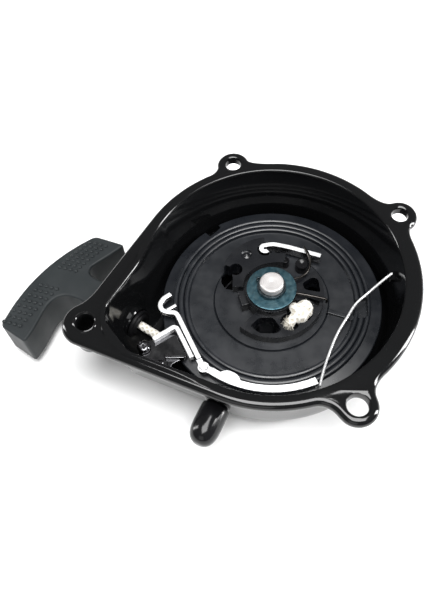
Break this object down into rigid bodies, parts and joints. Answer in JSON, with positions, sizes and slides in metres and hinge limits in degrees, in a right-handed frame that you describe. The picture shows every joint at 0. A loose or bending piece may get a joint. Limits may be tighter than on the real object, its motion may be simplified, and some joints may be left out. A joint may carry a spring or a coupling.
{
  "type": "recoil starter",
  "caption": "Black pull-cord starter housing, open side up, with a sprung rope reel, swinging pawl, start interlock, soft cap and T-shaped grip.",
  "frame": {"origin": "on the reel's axis, at the flat back face of the case", "axes": "+Z along the reel's axis towards the open flange side; +X to the right and +Y away when the grip is at the left"},
  "size_m": [0.1899, 0.1431, 0.046],
  "materials": {
    "black_paint": "gloss",
    "charcoal_plastic": "satin",
    "steel": "satin",
    "spring_steel": "satin",
    "bronze": "satin",
    "blue_zinc": "satin",
    "bright_zinc": "bright",
    "rope_cord": "matt",
    "grip_rubber": "matt",
    "boot_vinyl": "gloss"
  },
  "bodies": {
    "housing": {"case_shell": "black_paint", "rope_guide": "charcoal_plastic", "center_post": "steel", "recoil_spring": "spring_steel", "retaining_washer": "blue_zinc", "snap_ring": "bright_zinc", "lock_bracket": "bright_zinc", "bracket_screw_1": "bright_zinc", "bracket_screw_2": "bright_zinc", "hook_strip": "bright_zinc", "lever_pin": "bright_zinc", "return_wire": "bright_zinc", "cable_boot": "boot_vinyl", "rope_run": "rope_cord"},
    "reel": {"reel": "charcoal_plastic", "reel_bushing": "bronze", "rope_coil": "rope_cord", "rope_lead": "rope_cord", "rope_knot": "rope_cord"},
    "friction_spring": {"friction_spring": "steel"},
    "pawl": {"pawl": "bright_zinc"},
    "lock_lever": {"lock_lever": "bright_zinc"},
    "grip": {"grip": "grip_rubber", "grip_washer": "bright_zinc", "grip_knot": "rope_cord"}
  },
  "joints": [
    {"name": "reel_spin", "type": "hinge", "parent": "housing", "child": "reel", "pos_m": [0, 0, 0.02], "axis": [0, 0, -1], "range_deg": [0, 1030], "stiffness_Nm_per_rad": 0.02, "springref_deg": -171.89},
    {"name": "grip_pull", "type": "slide", "parent": "housing", "child": "grip", "axis": [-0.866, 0.5, 0], "range_m": [0, 0.756]},
    {"name": "spring_lag", "type": "hinge", "parent": "reel", "child": "friction_spring", "pos_m": [0, 0, 0.03], "axis": [0, 0, 1], "range_deg": [0, 22]},
    {"name": "pawl_swing", "type": "hinge", "parent": "reel", "child": "pawl", "pos_m": [-0.0038, 0.0246, 0.026], "axis": [0, 0, 1], "range_deg": [0, 17.7]},
    {"name": "lock_lever_swing", "type": "hinge", "parent": "housing", "child": "lock_lever", "pos_m": [-0.0286, -0.0382, 0.0258], "axis": [0, 0, 1], "range_deg": [-6, 0], "stiffness_Nm_per_rad": 0.05, "springref_deg": 5.73, "deforming": ["return_wire"]}
  ],
  "couplings": [
    {"joint": "grip_pull", "follows": "reel_spin", "m_per_rad": 0.042},
    {"joint": "pawl_swing", "follows": "spring_lag", "ratio": 0.8}
  ]
}
